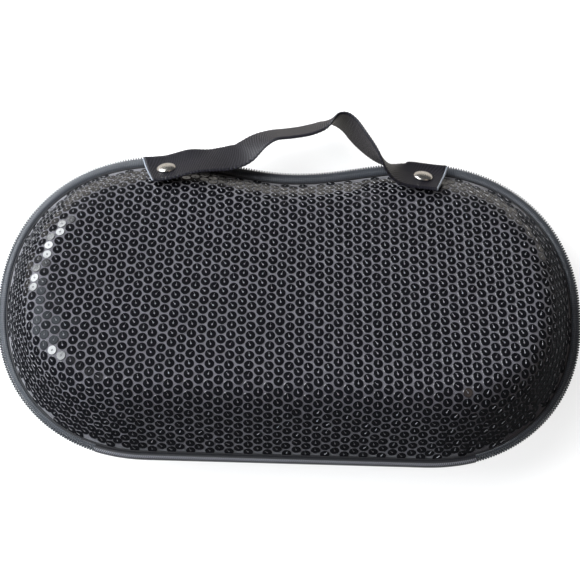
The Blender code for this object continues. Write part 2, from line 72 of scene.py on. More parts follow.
POCKET_SIDE_GAP, POCKET_CORNER_GAP = 1.0 * MM, 1.5 * MM
BAND_HALF, BAND_W, BAND_T, BAND_RISE, TAB = 55 * MM, 30 * MM, 1.2 * MM, 2.5 * MM, 14 * MM

# Route of the webbing: x, y, z in millimetres in the case's frame, lean of its width in degrees.
STRAP_ROUTE = (
    (-80, 71.4, 14.3, 50), (-75.5, 72.0, 14.2, 50), (-71, 72.7, 14.1, 50), (-66, 74.2, 14.0, 50),
    (-60, 76.4, 13.7, 50), (-52, 78.7, 13.4, 52), (-44, 80.3, 13.0, 55), (-36, 81.8, 13.0, 58),
    (-28, 85.3, 13.2, 54), (-25, 88.2, 13.5, 49), (-19, 92.9, 14.0, 44), (-13, 95.8, 14.0, 39),
    (-2, 97.7, 14.0, 38), (7, 99.6, 14.0, 38), (14, 102.4, 14.0, 36), (19, 105.8, 14.0, 28),
    (24, 107.1, 14.0, 12), (29, 105.5, 14.0, 0), (33, 101.7, 14.0, -5), (37, 96.8, 14.0, -3),
    (41, 91.9, 14.2, 1), (45.5, 86.5, 15.0, 7), (49.5, 82.0, 16.0, 16), (53, 78.4, 16.6, 28),
    (55.4, 76.4, 16.4, 38), (59.5, 73.6, 15.4, 48), (63, 72.8, 14.8, 51), (68, 72.4, 14.5, 51),
    (72.5, 71.9, 14.5, 51), (77, 71.4, 14.5, 51), (82, 70.8, 14.6, 51),
)
CUT_EDGE_R = {"left": 0.45 * MM, "right": 0.8 * MM}
RIVET_STOPS = {"left": 2, "right": 28}
RIB, RIB_SLANT, SELVEDGE_STITCH, SELVEDGE, STRAP_EASE = 1.45 * MM, 3.2, 1.9 * MM, 0.88, 24

# The case is drawn square to its parting plane; this lays it down as the CAD does.
LAY = Matrix.Translation((0, -CENTRE_Y, MID_DEPTH * cos(TILT))) @ Matrix.Rotation(-TILT, 4, "X")
LAY_R, LAY_T = np.array(LAY.to_3x3()), np.array(LAY.translation)


def laid(points):
    """Points of the case's own frame, in the frame of the row."""
    return np.asarray(points) @ LAY_R.T + LAY_T


# --- meshes ---


def mesh_object(name, points, faces, look, uv=None, smooth=60):
    """A mesh in the row frame; uv is one pair for each point, in metres on the cloth."""
    data = bpy.data.meshes.new(name)
    data.from_pydata(laid(np.reshape(points, (-1, 3))).tolist(), [], faces)
    if uv is not None:
        layer = data.uv_layers.new(name="cloth")
        corner = np.zeros(len(data.loops), np.int32)
        data.loops.foreach_get("vertex_index", corner)
        layer.data.foreach_set("uv", np.reshape(uv, (-1, 2)).astype(np.float32)[corner].ravel())
    data.materials.append(look)
    data.shade_smooth()
    if smooth < 180:
        data.set_sharp_from_angle(angle=radians(smooth))
    data.validate()
    return linked(name, data)


def linked(name, data):
    item = bpy.data.objects.new(name, data)
    bpy.context.scene.collection.objects.link(item)
    return item


def settle(item, body, stands_for=()):
    if stands_for:
        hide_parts(*stands_for)
    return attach(item, body) if body else item


def grid_faces(rows, columns, around=False, closed=False, flip=False):
    """Quads of a grid of points, row after row; around joins the rows' ends, closed the rows."""
    i, j = np.arange(rows if closed else rows - 1), np.arange(columns if around else columns - 1)
    a, b = pairs(i, j).reshape(-1, 2).T
    down, across = (a + 1) % rows, (b + 1) % columns
    corners = (a * columns + b, a * columns + across, down * columns + across, down * columns + b)
    return np.stack(corners[::-1] if flip else corners, 1).tolist()


def swept(grid, closed=False):
    """Faces of a solid swept along the grid's rows, each row a ring, with its ends filled."""
    rows, columns = grid.shape[:2]
    faces = grid_faces(rows, columns, around=True, closed=closed)
    if not closed:
        faces += [list(range(columns))[::-1], list(range((rows - 1) * columns, rows * columns))]
    return faces


def outward(item):
    """Turns every face out, for closed solids."""
    mesh = bmesh.new()
    mesh.from_mesh(item.data)
    bmesh.ops.recalc_face_normals(mesh, faces=mesh.faces)
    mesh.to_mesh(item.data)
    mesh.free()
    return item


def face_out(item, side):
    """Turns an open surface so that its faces point out of the case's lid, or of its base."""
    outward(item)
    lean = sum(face.normal.z * face.area for face in item.data.polygons)
    if lean * side < 0:
        item.data.flip_normals()
    return item


def cloth_strip(name, grid, look, uv=None, smooth=60):
    """A closed solid swept along the grid's rows, with its cloth coordinates."""
    return outward(mesh_object(name, grid, swept(grid), look, uv, smooth))


def thicken(item, thickness):
    solid = item.modifiers.new("thickness", "SOLIDIFY")
    solid.thickness = thickness
    solid.offset = -1
    return item


def repeated(template, faces, centre, axes):
    """Copies of a small mesh; template is (points, 3) along each copy's own three axes."""
    count, size = len(centre), len(template)
    points = centre[:, None, :] + np.einsum("pk,nkc->npc", template, axes)
    quads = np.asarray(faces)[None] + (np.arange(count) * size)[:, None, None]
    return points.reshape(-1, 3), quads.reshape(-1, quads.shape[2]).tolist()


def pairs(rows, columns):
    """Two values for each point of a grid."""
    return np.stack(np.meshgrid(rows, columns, indexing="ij"), 2)


def running(path):
    """Length along a path to each of its points."""
    return np.append(0, np.cumsum(np.linalg.norm(np.diff(path, axis=0), axis=1)))


def sampled(path, length, stops):
    """Points of a path at given lengths along it."""
    return np.stack([np.interp(stops, length, line) for line in path.T], 1)


def turns_of(count):
    """Even angles round a full turn."""
    return np.arange(count) * 2 * pi / count


def there_and_back(values):
    return np.append(values, values[::-1])


def unit(vectors):
    return vectors / np.linalg.norm(vectors, axis=-1, keepdims=True)


# --- rim ---


RIM_STEPS = 400
RIM_SPACING, CORE_SPACING, TAPE_SPACING, TURN_SPACING = 1.6 * MM, 2.0 * MM, 1.2 * MM, 1.5 * MM


def powered(value, power):
    return np.sign(value) * np.abs(value) ** power


def lobe(side, angles):
    way = np.stack([np.cos(angles), np.sin(angles)], 1)
    size = np.array([LOBE_A, LOBE_B])
    point = powered(way, 2 / SQUARE) * size + [side * LOBE_X, 0]
    return np.hstack([point, unit(powered(way, 2 - 2 / SQUARE) / size)])


def dip(x):
    wave = pi * x / LOBE_X
    normal = unit(np.stack([-DIP * 0.5 * np.sin(wave) * pi / LOBE_X, np.ones_like(x)], 1))
    return np.hstack([np.stack([x, LOBE_B - DIP * (0.5 + 0.5 * np.cos(wave))], 1), normal])


def flat(x):
    return np.stack([x, np.full_like(x, -LOBE_B), np.zeros_like(x), np.full_like(x, -1.0)], 1)


def turn_of(half):
    return -acos(((half - LOBE_X) / LOBE_A) ** (SQUARE / 2))


def rim(part, spacing, half=HINGE_HALF):
    """Evenly spaced stations on the rim: place, outward normal, running length."""
    fine = RIM_STEPS
    across = np.linspace(-LOBE_X, LOBE_X, fine)
    if part == "hinge":
        turn = np.linspace(-pi / 2, turn_of(half), fine)
        path = np.vstack([lobe(-1, pi - turn[::-1]), flat(across)[1:-1], lobe(1, turn)])
    else:
        turn = np.linspace(-pi / 2 if part == "all" else turn_of(half), pi / 2, 2 * fine)
        path = np.vstack([lobe(1, turn), dip(across[::-1])[1:-1], lobe(-1, pi - turn[::-1])])
        if part == "all":
            path = np.vstack([path, flat(across)[1:-1], path[:1]])
    length = running(path[:, :2])
    count = max(int(round(length[-1] / spacing)), 2)
    stops = np.linspace(0, length[-1], count + 1)
    if part == "all":
        stops = stops[:-1]
    made = sampled(path, length, stops)
    return made[:, :2], unit(made[:, 2:]), stops


def by_facing(normal, side, top, hinge):
    """A size that changes smoothly round the rim, by which way the rim faces."""
    up, down = np.maximum(normal[:, 1], 0) ** 2, np.maximum(-normal[:, 1], 0) ** 2
    return side + (top - side) * up + (hinge - side) * down


def foot_inset(normal):
    return by_facing(normal, FOOT_SIDE, FOOT_TOP, FOOT_HINGE)


def placed(point, normal, inset, height, side=1):
    """Points at an inset and a height from rim stations; side -1 is the base."""
    spot = point[:, None] - normal[:, None] * inset[..., None]
    return raised(spot, height * side)


# --- moulded wall ---


def flat_height(point, normal, inset, drop=0.0):
    return MID_DEPTH - drop / cos(TILT) - (point[:, 1] - normal[:, 1] * inset) * tan(TILT)


WALL_STRAIGHT, WALL_CURVED = 9, 13


def wall(point, normal, depth, start_z, straight=WALL_STRAIGHT, curved=WALL_CURVED):
    """Section of the wall from its foot to the flat: (stations, steps, 2) inset and height."""
    run = by_facing(normal, RUN_SIDE, RUN_TOP, RUN_HINGE)
    foot = np.stack([foot_inset(normal), np.full_like(run, FLANGE_TOP)], 1)
    corner = np.stack([run, flat_height(point, normal, run)], 1)
    end = np.stack([run + EDGE_ROUND, flat_height(point, normal, run + EDGE_ROUND)], 1)
    knee = foot + (corner - foot) * EDGE_KNEE
    rise, level = unit(corner - foot), unit(end - corner)
    t = np.linspace(0, 1, curved)[None, :, None]
    bend = knee[:, None] * (1 - t) ** 2 + corner[:, None] * 2 * t * (1 - t) + end[:, None] * t**2
    way = unit(rise[:, None] * (1 - t) + level[:, None] * t)
    bend = bend + np.dstack([way[..., 1], -way[..., 0]]) * depth
    first = foot + np.stack([rise[:, 1], -rise[:, 0]], 1) * depth
    first = first + rise * ((start_z - first[:, 1]) / rise[:, 1])[:, None]
    t = np.linspace(0, 1, straight)[:-1][None, :, None]
    line = first[:, None] * (1 - t) + bend[:, :1] * t
    return np.concatenate([line, bend], axis=1)


def cloth_place(point, normal, section):
    """Where each point of the wall's cloth was in the flat fabric, from the flat's edge out."""
    step = np.linalg.norm(np.diff(section, axis=1), axis=2)
    run = np.concatenate([np.cumsum(step[:, ::-1], axis=1)[:, ::-1], np.zeros((len(step), 1))], 1)
    edge = point - normal * section[:, -1, :1]
    edge = np.stack([edge[:, 0], edge[:, 1] / cos(TILT)], 1)
    return edge[:, None, :] + normal[:, None, :] * run[..., None], edge, run


def bowl_faces(grid, side):
    """Faces of the wall all round, and of the flat that closes it."""
    rows, columns = grid.shape[:2]
    faces = grid_faces(rows, columns, closed=True, flip=side < 0)
    cap = [row * columns + columns - 1 for row in range(rows)]
    faces.append(cap if side > 0 else cap[::-1])
    return faces


def moulded(name, side, look, depth, start_z, thickness):
    """One cloth layer of the moulding: wall, rounded edge and flat, cut from one flat sheet."""
    point, normal = rim("all", RIM_SPACING)[:2]
    section = wall(point, normal, depth, start_z)
    grid = placed(point, normal, section[..., 0], section[..., 1], side)
    uv = cloth_place(point, normal, section)[0]
    item = mesh_object(name, grid, bowl_faces(grid, side), look, uv, smooth=50)
    thicken(face_out(item, side), thickness)
    return item


# --- materials ---


class Look:
    """A node material: a Principled shader with its colour, roughness and bump from nodes."""

    def __init__(self, name, colour, roughness, **sockets):
        self.made = bpy.data.materials.new(name)
        self.made.use_nodes = True
        self.made.diffuse_color = (*colour, 1)
        self.tree = self.made.node_tree
        self.shader = self.tree.nodes["Principled BSDF"]
        self.shader.inputs["Base Color"].default_value = (*colour, 1)
        self.shader.inputs["Roughness"].default_value = roughness
        for key, value in sockets.items():
            self.shader.inputs[key.replace("_", " ")].default_value = value
        self.height = None

    def node(self, kind, **values):
        made = self.tree.nodes.new("ShaderNode" + kind)
        for key, value in values.items():
            if hasattr(made, key):
                setattr(made, key, value)
            else:
                self.join(value, made.inputs[key.replace("_", " ")])
        return made

    def join(self, value, socket):
        if isinstance(value, bpy.types.NodeSocket):
            self.tree.links.new(value, socket)
        else:
            socket.default_value = value

    def math(self, operation, *values):
        made = self.node("Math", operation=operation)
        for value, socket in zip(values, made.inputs):
            self.join(value, socket)
        return made.outputs[0]

    def cloth(self):
        """The two cloth coordinates, in metres."""
        apart = self.node("SeparateXYZ", Vector=self.node("UVMap", uv_map="cloth").outputs[0])
        return apart.outputs[0], apart.outputs[1]

    def noise(self, scale, detail=2.0):
        """Soft noise over the piece, so many waves for each metre."""
        place = self.node("TexCoord").outputs["Object"]
        return self.node("TexNoise", Vector=place, Scale=scale, Detail=detail).outputs["Fac"]

    def wave(self, value, pitch, shift=0.0):
        """0 to 1 and back once for each pitch of a length."""
        turns = self.math("MULTIPLY_ADD", value, 2 * pi / pitch, shift)
        return self.math("MULTIPLY_ADD", self.math("SINE", turns), 0.5, 0.5)

    def ramp(self, value, low, high, from_low=0.0, from_high=1.0):
        made = self.node("MapRange")
        for socket, number in zip(made.inputs[:5], (value, from_low, from_high, low, high)):
            self.join(number, socket)
        return made.outputs[0]

    def mix(self, value, low, high):
        made = self.node("Mix", data_type="RGBA")
        self.join(value, made.inputs["Factor"])
        for socket, colour in zip([s for s in made.inputs if s.type == "RGBA"], (low, high)):
            self.join((*colour, 1) if isinstance(colour, tuple) else colour, socket)
        return [s for s in made.outputs if s.type == "RGBA"][0]

    def colour(self, value, low, high):
        self.join(self.mix(value, low, high), self.shader.inputs["Base Color"])

    def roughness(self, value, low, high):
        self.join(self.ramp(value, low, high), self.shader.inputs["Roughness"])

    def bump(self, value, distance):
        made = self.node("Bump", Height=value, Strength=1.0, Distance=distance)
        if self.height:
            self.tree.links.new(self.height, made.inputs["Normal"])
        self.height = made.outputs[0]
        self.tree.links.new(self.height, self.shader.inputs["Normal"])


def half_sum(look, a, b):
    return look.math("MULTIPLY", look.math("ADD", a, b), 0.5)


def cloudy(name, roughness, low, high, scale, detail=2.0, **sockets):
    """A look whose colour drifts softly between two colours over the piece."""
    middle = tuple((a + b) / 2 for a, b in zip(low, high))
    look = Look(name, middle, roughness, **sockets)
    look.colour(look.noise(scale, detail), low, high)
    return look


def sequin_look():
    """Glossy black plastic film."""
    disc = cloudy("sequin_gloss", 0.1, (0.0015, 0.0015, 0.002), (0.004, 0.004, 0.0055), 140, IOR=1.5)
    disc.roughness(disc.noise(420, 3), 0.05, 0.2)
    return disc


def net_look():
    """The grey net that the sequins are sewn on."""
    net = Look("sequin_net", (0.12, 0.115, 0.13), 0.7, Sheen_Weight=0.25, Sheen_Roughness=0.4)
    u, v = net.cloth()
    pitch = 0.9 * MM
    one_way = net.wave(net.math("ADD", u, v), pitch)
    mesh = half_sum(net, one_way, net.wave(net.math("SUBTRACT", u, v), pitch))
    shade = net.math("MULTIPLY", mesh, net.ramp(net.noise(55, 3), 0.75, 1.2))
    net.colour(shade, (0.030, 0.029, 0.035), (0.135, 0.130, 0.150))
    net.bump(mesh, 0.25 * MM)
    return net


def foam_look():
    core = cloudy("moulded_foam", 0.8, (0.014, 0.014, 0.015), (0.028, 0.028, 0.031), 300, 4)
    core.bump(core.noise(1500, 2), 0.08 * MM)
    return core


def velour_look():
    nap = {"Sheen_Weight": 0.6, "Sheen_Roughness": 0.35}
    velour = cloudy("velour", 0.9, (0.018, 0.018, 0.021), (0.040, 0.040, 0.046), 60, 4, **nap)
    velour.bump(velour.noise(2600, 2), 0.12 * MM)
    return velour


def tape_look():
    """Dark grey twill of the zip tapes and bindings."""
    tape = Look("tape_twill", (0.03, 0.033, 0.04), 0.42, Sheen_Weight=0.6, Sheen_Roughness=0.3)
    u, v = tape.cloth()
    cross = half_sum(tape, tape.wave(u, 1.1 * MM), tape.wave(tape.math("ADD", u, v), 0.7 * MM))
    cloud = tape.ramp(tape.noise(90), 0.7, 1.2)
    tape.colour(tape.math("MULTIPLY", cross, cloud), (0.002, 0.002, 0.003), (0.056, 0.063, 0.076))
    tape.roughness(cross, 0.5, 0.34)
    tape.bump(cross, 0.14 * MM)
    return tape


def coil_look():
    coil = cloudy("nylon_coil", 0.3, (0.040, 0.043, 0.050), (0.085, 0.090, 0.100), 200, IOR=1.5)
    coil.roughness(coil.noise(900), 0.22, 0.4)
    return coil


def elastic_look():
    elastic = Look("elastic_black", (0.02, 0.02, 0.022), 0.6, Sheen_Weight=0.3)
    u, v = elastic.cloth()
    weave = half_sum(elastic, elastic.wave(v, ELASTIC_RIB, -pi / 2), elastic.wave(u, 0.8 * MM))
    elastic.colour(weave, (0.008, 0.008, 0.009), (0.042, 0.042, 0.047))
    elastic.bump(weave, 0.1 * MM)
    return elastic


def nickel_look():
    nickel = Look("satin_nickel", (0.72, 0.68, 0.62), 0.3, Metallic=1.0)
    cloud = nickel.noise(220, 4)
    nickel.colour(cloud, (0.52, 0.48, 0.43), (0.86, 0.83, 0.78))
    nickel.roughness(cloud, 0.2, 0.36)
    nickel.bump(nickel.noise(1400, 2), 0.012 * MM)
    return nickel


def webbing_look():
    """Black ribbed webbing: slanted ribs between two dotted selvedges, with painted shade in the rib
    grooves, the dips between the dots and the gaps between the yarns.
    """
    web = Look("webbing_black", (0.01, 0.01, 0.014), 0.4, Specular_IOR_Level=0.33)
    u, v = web.cloth()
    half = STRAP_W / 2
    rib = web.wave(web.math("MULTIPLY_ADD", v, RIB * RIB_SLANT / half, u), RIB, -pi / 2)
    dots = web.wave(u, SELVEDGE_STITCH, -pi / 2)
    edge = web.ramp(web.math("ABSOLUTE", v), 0, 1, (SELVEDGE - 0.02) * half, SELVEDGE * half)
    # 0 in the rib grooves and between the selvedge dots, 1 on the tops: the mask of the painted shade
    # below.
    groove_shade_mask = web.math("MULTIPLY_ADD", edge, web.math("SUBTRACT", dots, rib), rib)
    yarn = web.wave(v, 0.5 * MM)
    shade = web.math("MULTIPLY", groove_shade_mask, web.ramp(yarn, 0.5, 1.0))
    shade = web.math("MULTIPLY", shade, web.ramp(web.noise(45), 0.6, 1.3))
    # Painted shade: the colour goes near-black in the grooves and dips of the relief and between the
    # yarns; the noise is a random tone.
    web.colour(shade, (0.001, 0.001, 0.0015), (0.015, 0.0135, 0.021))
    web.roughness(groove_shade_mask, 0.5, 0.28)
    web.bump(yarn, 0.06 * MM)
    return web


def hinge_cord_look():
    """The hinge tape: a twisted weave on the lighter ridge beside the cloth, coloured black over the edge
    as painted shade.
    """
    cord = Look("hinge_cord", (0.03, 0.03, 0.035), 0.5, Sheen_Weight=0.3, Sheen_Roughness=0.3)
    u, v = cord.cloth()
    twist = cord.wave(cord.math("MULTIPLY_ADD", v, HINGE_RIB / HINGE_SLANT, u), HINGE_RIB, -pi / 2)
    away = cord.math("ABSOLUTE", v)
    rise = cord.ramp(away, 0.06, 1, *HINGE_RIDGE[:2])
    ridge = cord.math("MINIMUM", rise, cord.ramp(away, 1, 0.06, *HINGE_RIDGE[2:]))
    # Outside the ridge the colour goes to black: painted shade over the outer face of the cord; the ridge
    # keeps the twist of the weave.
    cord.colour(cord.math("MULTIPLY", twist, ridge), (0.003, 0.003, 0.0045), (0.18, 0.18, 0.20))
    return cord


def make_looks():
    looks = {
        "sequin": sequin_look(),
        "net": net_look(),
        "foam": foam_look(),
        "velour": velour_look(),
        "tape": tape_look(),
        "coil": coil_look(),
        "webbing": webbing_look(),
        # Light grey-blue colour of the beads on the webbing's cut ends: painted highlight.
        "cut_edge_highlight": cloudy("webbing_cut_edge_highlight", 0.3, (0.13, 0.145, 0.17), (0.26, 0.28, 0.32), 900),
        "cord": hinge_cord_look(),
        "elastic": elastic_look(),
        "thread": cloudy("clear_thread", 0.3, (0.14, 0.14, 0.15), (0.50, 0.50, 0.53), 500),
        # Near-black look of the cord in the seam: painted shade for the crease between the zip tape and
        # the wall.
        "stitch": cloudy("shade_cord_black", 0.55, (0.006, 0.006, 0.007), (0.02, 0.02, 0.023), 700),
        "grey_stitch": cloudy("grey_thread", 0.5, (0.07, 0.07, 0.076), (0.17, 0.17, 0.18), 700),
        "nickel": nickel_look(),
        "mesh": cloudy("pocket_mesh", 0.6, (0.022, 0.022, 0.026), (0.05, 0.05, 0.056), 400),
    }
    return {name: look.made for name, look in looks.items()}


# --- sequins ---

SEQUIN_R, HOLE_R, SEQUIN_T = 2.52 * MM, 0.5 * MM, 0.2 * MM
COLUMN, ALONG = 5.0 * MM, 5.55 * MM
SEQUIN_LIFT = 0.12 * MM
# A stitch: distance along it, half its width and its height over the disc, in millimetres.
THREAD_LINE = ((-0.4, 0.13, -0.2), (-0.1, 0.16, 0.0), (0.35, 0.12, 0.02), (0.7, 0.06, 0.0),
               (1.5, 0.04, 0.0), (2.6, 0.04, -0.24))
FOOT_CLEAR = 1.6 * MM
COLUMNS, ROWS, LATTICE_SHIFT = 38, 26, 0.4 * MM
PLACE_ERROR, TILT_ERROR, TURN_ERROR = 0.09 * MM, 0.022, 0.25
DISC_EDGE, DISC_SIDES = 0.16 * MM, 16
STITCH_TURN, ODD_TURN, ODD_SHARE = radians(115), radians(45), 0.25
STITCH_LIFT, STITCH_EDGE, STITCH_RIDGE = 0.06 * MM, 0.08 * MM, 0.05 * MM
PROBE, SHELL_SPACING, SHELL_STRAIGHT, SHELL_CURVED, NEARNESS = 0.6 * MM, 0.5 * MM, 24, 32, 0.02
# The disc's section: radius and height.
DISC = (
    (HOLE_R, SEQUIN_T), (SEQUIN_R - DISC_EDGE, SEQUIN_T), (SEQUIN_R, SEQUIN_T * 0.45),
    (SEQUIN_R * 0.98, 0),
)


def lattice():
    """Places of the sequins in the flat fabric: columns up the case, every other one shifted."""
    i, j = pairs(np.arange(-COLUMNS, COLUMNS + 1), np.arange(-ROWS, ROWS + 1)).reshape(-1, 2).T
    spots = np.stack([i * COLUMN + LATTICE_SHIFT, (j + 0.5 * (i % 2)) * ALONG], 1)
    return spots + chance.normal(0, PLACE_ERROR, spots.shape)


def onto_shell(spots, side):
    """Where fabric points lie on the moulded shell, and which of them are on it."""
    point, normal = rim("all", SHELL_SPACING)[:2]
    section = wall(point, normal, 0.0, FLANGE_TOP + FIT, SHELL_STRAIGHT, SHELL_CURVED)
    edge, run = cloth_place(point, normal, section)[1:]
    out = np.zeros((len(spots), 3))
    kept = np.zeros(len(spots), bool)
    for index, spot in enumerate(spots):
        gap = spot - edge
        ahead = (gap * normal).sum(1)
        aside = np.abs(gap[:, 0] * normal[:, 1] - gap[:, 1] * normal[:, 0])
        # The station straight ahead of the point; one that faces away from it never wins.
        near = aside + np.where(ahead < -1 * MM, 1.0, 0) + NEARNESS * np.abs(ahead)
        best = int(near.argmin())
        nearest = int(np.hypot(gap[:, 0], gap[:, 1]).argmin())
        far = ahead[best]
        if ahead[nearest] <= 0 or far <= 0:
            y = spot[1] * cos(TILT)
            out[index] = (spot[0], y, MID_DEPTH - y * tan(TILT))
        elif far > run[best, 0] - FOOT_CLEAR:
            continue
        else:
            inset, height = (np.interp(far, run[best, ::-1], section[best, ::-1, k]) for k in (0, 1))
            out[index] = (*(point[best] - normal[best] * inset), height)
        kept[index] = True
    out[:, 2] *= side
    return out, kept


def shell_frames(side):
    """Centres and axes (across, up the column, outward) of every sequin on one half."""
    spots = lattice()
    centre, kept = onto_shell(spots, side)
    right, held_r = onto_shell(spots + [PROBE, 0], side)
    above, held_a = onto_shell(spots + [0, PROBE], side)
    kept &= held_r & held_a
    across, up = (right - centre)[kept], (above - centre)[kept]
    normal = unit(np.cross(across, up)) * side
    up = unit(up - normal * (up * normal).sum(1, keepdims=True))
    tilt = chance.normal(0, TILT_ERROR, (kept.sum(), 2))
    across = np.cross(up, normal)
    normal = unit(normal + across * tilt[:, :1] + up * tilt[:, 1:])
    up = unit(up - normal * (up * normal).sum(1, keepdims=True))
    across = np.cross(up, normal)
    return centre[kept] + normal * SEQUIN_LIFT, np.stack([across, up, normal], 1)


def ring_template(rings, count):
    angles = turns_of(count)
    points = [(r * cos(a), r * sin(a), h) for r, h in rings for a in angles]
    return np.array(points), grid_faces(len(rings), count, around=True, flip=True)


def sequins(prefix, side, looks):
    centre, axes = shell_frames(side)
    disc, faces = ring_template(DISC, DISC_SIDES)
    points, faces = repeated(disc, faces, centre, axes)
    item = mesh_object(prefix + "_sequins", points, faces, looks["sequin"], smooth=30)
    settle(item, prefix)

    # One stitch holds each sequin: from its hole over the rim, mostly to the upper left.
    turn = STITCH_TURN + chance.normal(0, TURN_ERROR, len(centre))
    turn = np.where(chance.random(len(centre)) < ODD_SHARE, turn - ODD_TURN, turn)
    way = axes[:, 0] * np.cos(turn)[:, None] + axes[:, 1] * np.sin(turn)[:, None]
    thread_axes = np.stack([way, np.cross(axes[:, 2], way), axes[:, 2]], 1)
    bar = []
    for x, half, h in np.array(THREAD_LINE) * MM:
        h += SEQUIN_T + STITCH_LIFT
        bar += [(x, -half, h - STITCH_EDGE), (x, 0, h + STITCH_RIDGE), (x, half, h - STITCH_EDGE)]
    points, faces = repeated(np.array(bar), grid_faces(len(THREAD_LINE), 3), centre, thread_axes)
    item = mesh_object(prefix + "_sequin_stitches", points, faces, looks["thread"])
    settle(item, prefix)


# --- rim pieces ---

TOOTH_PITCH, WIRE_R, WIRE_SIDES = 1.5 * MM, 0.33 * MM, 6
# One turn of the coil: inset from the rim, height and shift along the rim, in millimetres.
TOOTH_LINE = (
    (2.6, 2.35, 0.22), (1.6, 2.55, 0.12), (0.75, 2.3, 0.0), (0.3, 1.6, 0.0), (0.2, 0.8, 0.0),
    (0.45, 0.05, 0.0), (1.1, -0.25, 0.0), (1.9, 0.1, -0.1), (2.6, 0.9, -0.2),
)


def tooth_template(side):
    """One turn of the zip's coil, as a bent wire: along the rim, out of it, up."""
    line = np.array([(shift, -inset, height * side) for inset, height, shift in TOOTH_LINE]) * MM
    way = unit(np.gradient(line, axis=0))
    along = np.array([1.0, 0, 0])
    other = unit(np.cross(way, along))
    angles = turns_of(WIRE_SIDES)
    rings = [
        p + WIRE_R * (np.cos(a) * along + np.sin(a) * o) for p, o in zip(line, other) for a in angles
    ]
    return np.array(rings), grid_faces(len(line), WIRE_SIDES, around=True)


def zip_teeth(prefix, side, looks):
    point, normal = rim("zip", TOOTH_PITCH / 2)[:2]
    mine = slice(2, -2, 2) if side > 0 else slice(3, -2, 2)
    point, normal = point[mine], normal[mine]
    centre = np.hstack([point, np.zeros((len(point), 1))])
    along = np.stack([normal[:, 1], -normal[:, 0], np.zeros(len(point))], 1)
    out = np.hstack([normal, np.zeros((len(point), 1))])
    up = np.tile([0.0, 0, 1], (len(point), 1))
    tooth, faces = tooth_template(side)
    points, faces = repeated(tooth, faces, centre, np.stack([along, out, up], 1))
    item = mesh_object(prefix + "_coil_teeth", points, faces, looks["coil"])
    settle(outward(item), prefix, [prefix + "_zip_coil"])


TAPE_INSET, TAPE_W = 1.75 * MM, 3.4 * MM
# Size of the near-black cord that stands as painted shade for the crease at the foot of the wall.
SHADE_CORD_R, SHADE_CORD_SHIFT, SHADE_CORD_SIDES = 0.42 * MM, 0.05 * MM, 8
# Section of the zip tape: share of its width from the outer edge, height in millimetres.
TAPE_RING = (
    (0.0, 2.45), (0.1, 2.75), (0.28, 3.1), (0.5, 3.25), (0.72, 3.15), (0.88, 2.9), (0.98, 2.6),
    (1.0, 2.4), (0.7, 2.32), (0.3, 2.3), (0.04, 2.3),
)


def zip_tape(prefix, side, looks):
    point, normal, stops = rim("zip", TAPE_SPACING)
    share, height = np.array(TAPE_RING).T
    width = foot_inset(normal) - TAPE_EDGE_GAP - TAPE_INSET
    inset = TAPE_INSET + width[:, None] * share[None]
    grid = placed(point, normal, inset, height * MM, side)
    girth = running(np.stack([share * TAPE_W, height * MM], 1))
    item = cloth_strip(prefix + "_tape_twill", grid, looks["tape"], pairs(stops, girth))
    settle(item, prefix, [prefix + "_zip_tape"])


HINGE_STEP, HINGE_RELIEF, HINGE_BEND, HINGE_T = 0.22 * MM, 0.2 * MM, 0.9 * MM, STRIP * 0.8
# Half the section of the hinge tape: inset from the rim and height, in millimetres.
HINGE_SECTION = (
    (3.3, 2.6), (3.1, 3.0), (2.6, 3.25), (2.0, 3.35), (1.4, 3.3), (0.9, 3.1), (0.5, 2.8), (0.2, 2.4),
    (0.05, 1.8), (0.0, 1.1), (0.0, 0.45),
)


def hinge_tape(looks):
    """One woven tape round the outside of the hinge, from the lid's flange to the base's."""
    point, normal, stops = rim("hinge", HINGE_STEP, HINGE_HALF + HINGE_LAP)
    other_half = [(inset, -height) for inset, height in HINGE_SECTION[::-1]]
    outer = np.array([*HINGE_SECTION, *other_half]) * MM
    way = unit(np.gradient(outer, axis=0))
    face = np.stack([way[:, 1], -way[:, 0]], 1)
    girth = running(outer)
    around = girth - girth[-1] / 2
    phase = stops[:, None] / HINGE_RIB + around[None] / HINGE_SLANT
    rib = HINGE_RELIEF * np.abs(np.sin(pi * phase))
    inset = outer[None, :, 0] + face[None, :, 0] * rib
    height = outer[None, :, 1] + face[None, :, 1] * rib
    top = placed(point, normal, inset, height)
    under = placed(point, normal, *(outer[::-1] - face[::-1] * HINGE_T).T)
    grid = np.concatenate([top, under], axis=1)
    uv = pairs(stops, there_and_back(around))
    item = cloth_strip("hinge_tape", grid, looks["cord"], uv, 70)
    settle(item, None, ["base_hinge_strip", "lid_hinge_strip"])
    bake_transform(item)


def inner_binding(prefix, side, looks):
    """The tape inside the hinge, over the lining's edge."""
    point, normal, stops = rim("hinge", TURN_SPACING, INNER_TAPE_HALF)
    low = wall(point, normal, INSIDE + FIT, FIT + LINING)[:, 0]
    high = wall(point, normal, INSIDE + FIT, INNER_TAPE_HEIGHT)[:, 0]
    share = np.linspace(0, 1, INNER_COLUMNS)
    t = share[None, :, None]
    section = high[:, None] * (1 - t) + low[:, None] * t
    grid = placed(point, normal, section[..., 0], section[..., 1], side)
    uv = pairs(stops, share * INNER_TAPE_HEIGHT)
    faces = grid_faces(*grid.shape[:2], flip=side < 0)
    item = mesh_object(prefix + "_inner_binding", grid, faces, looks["tape"], uv)
    settle(thicken(face_out(item, side), LINING), prefix, [prefix + "_inner_hinge_tape"])


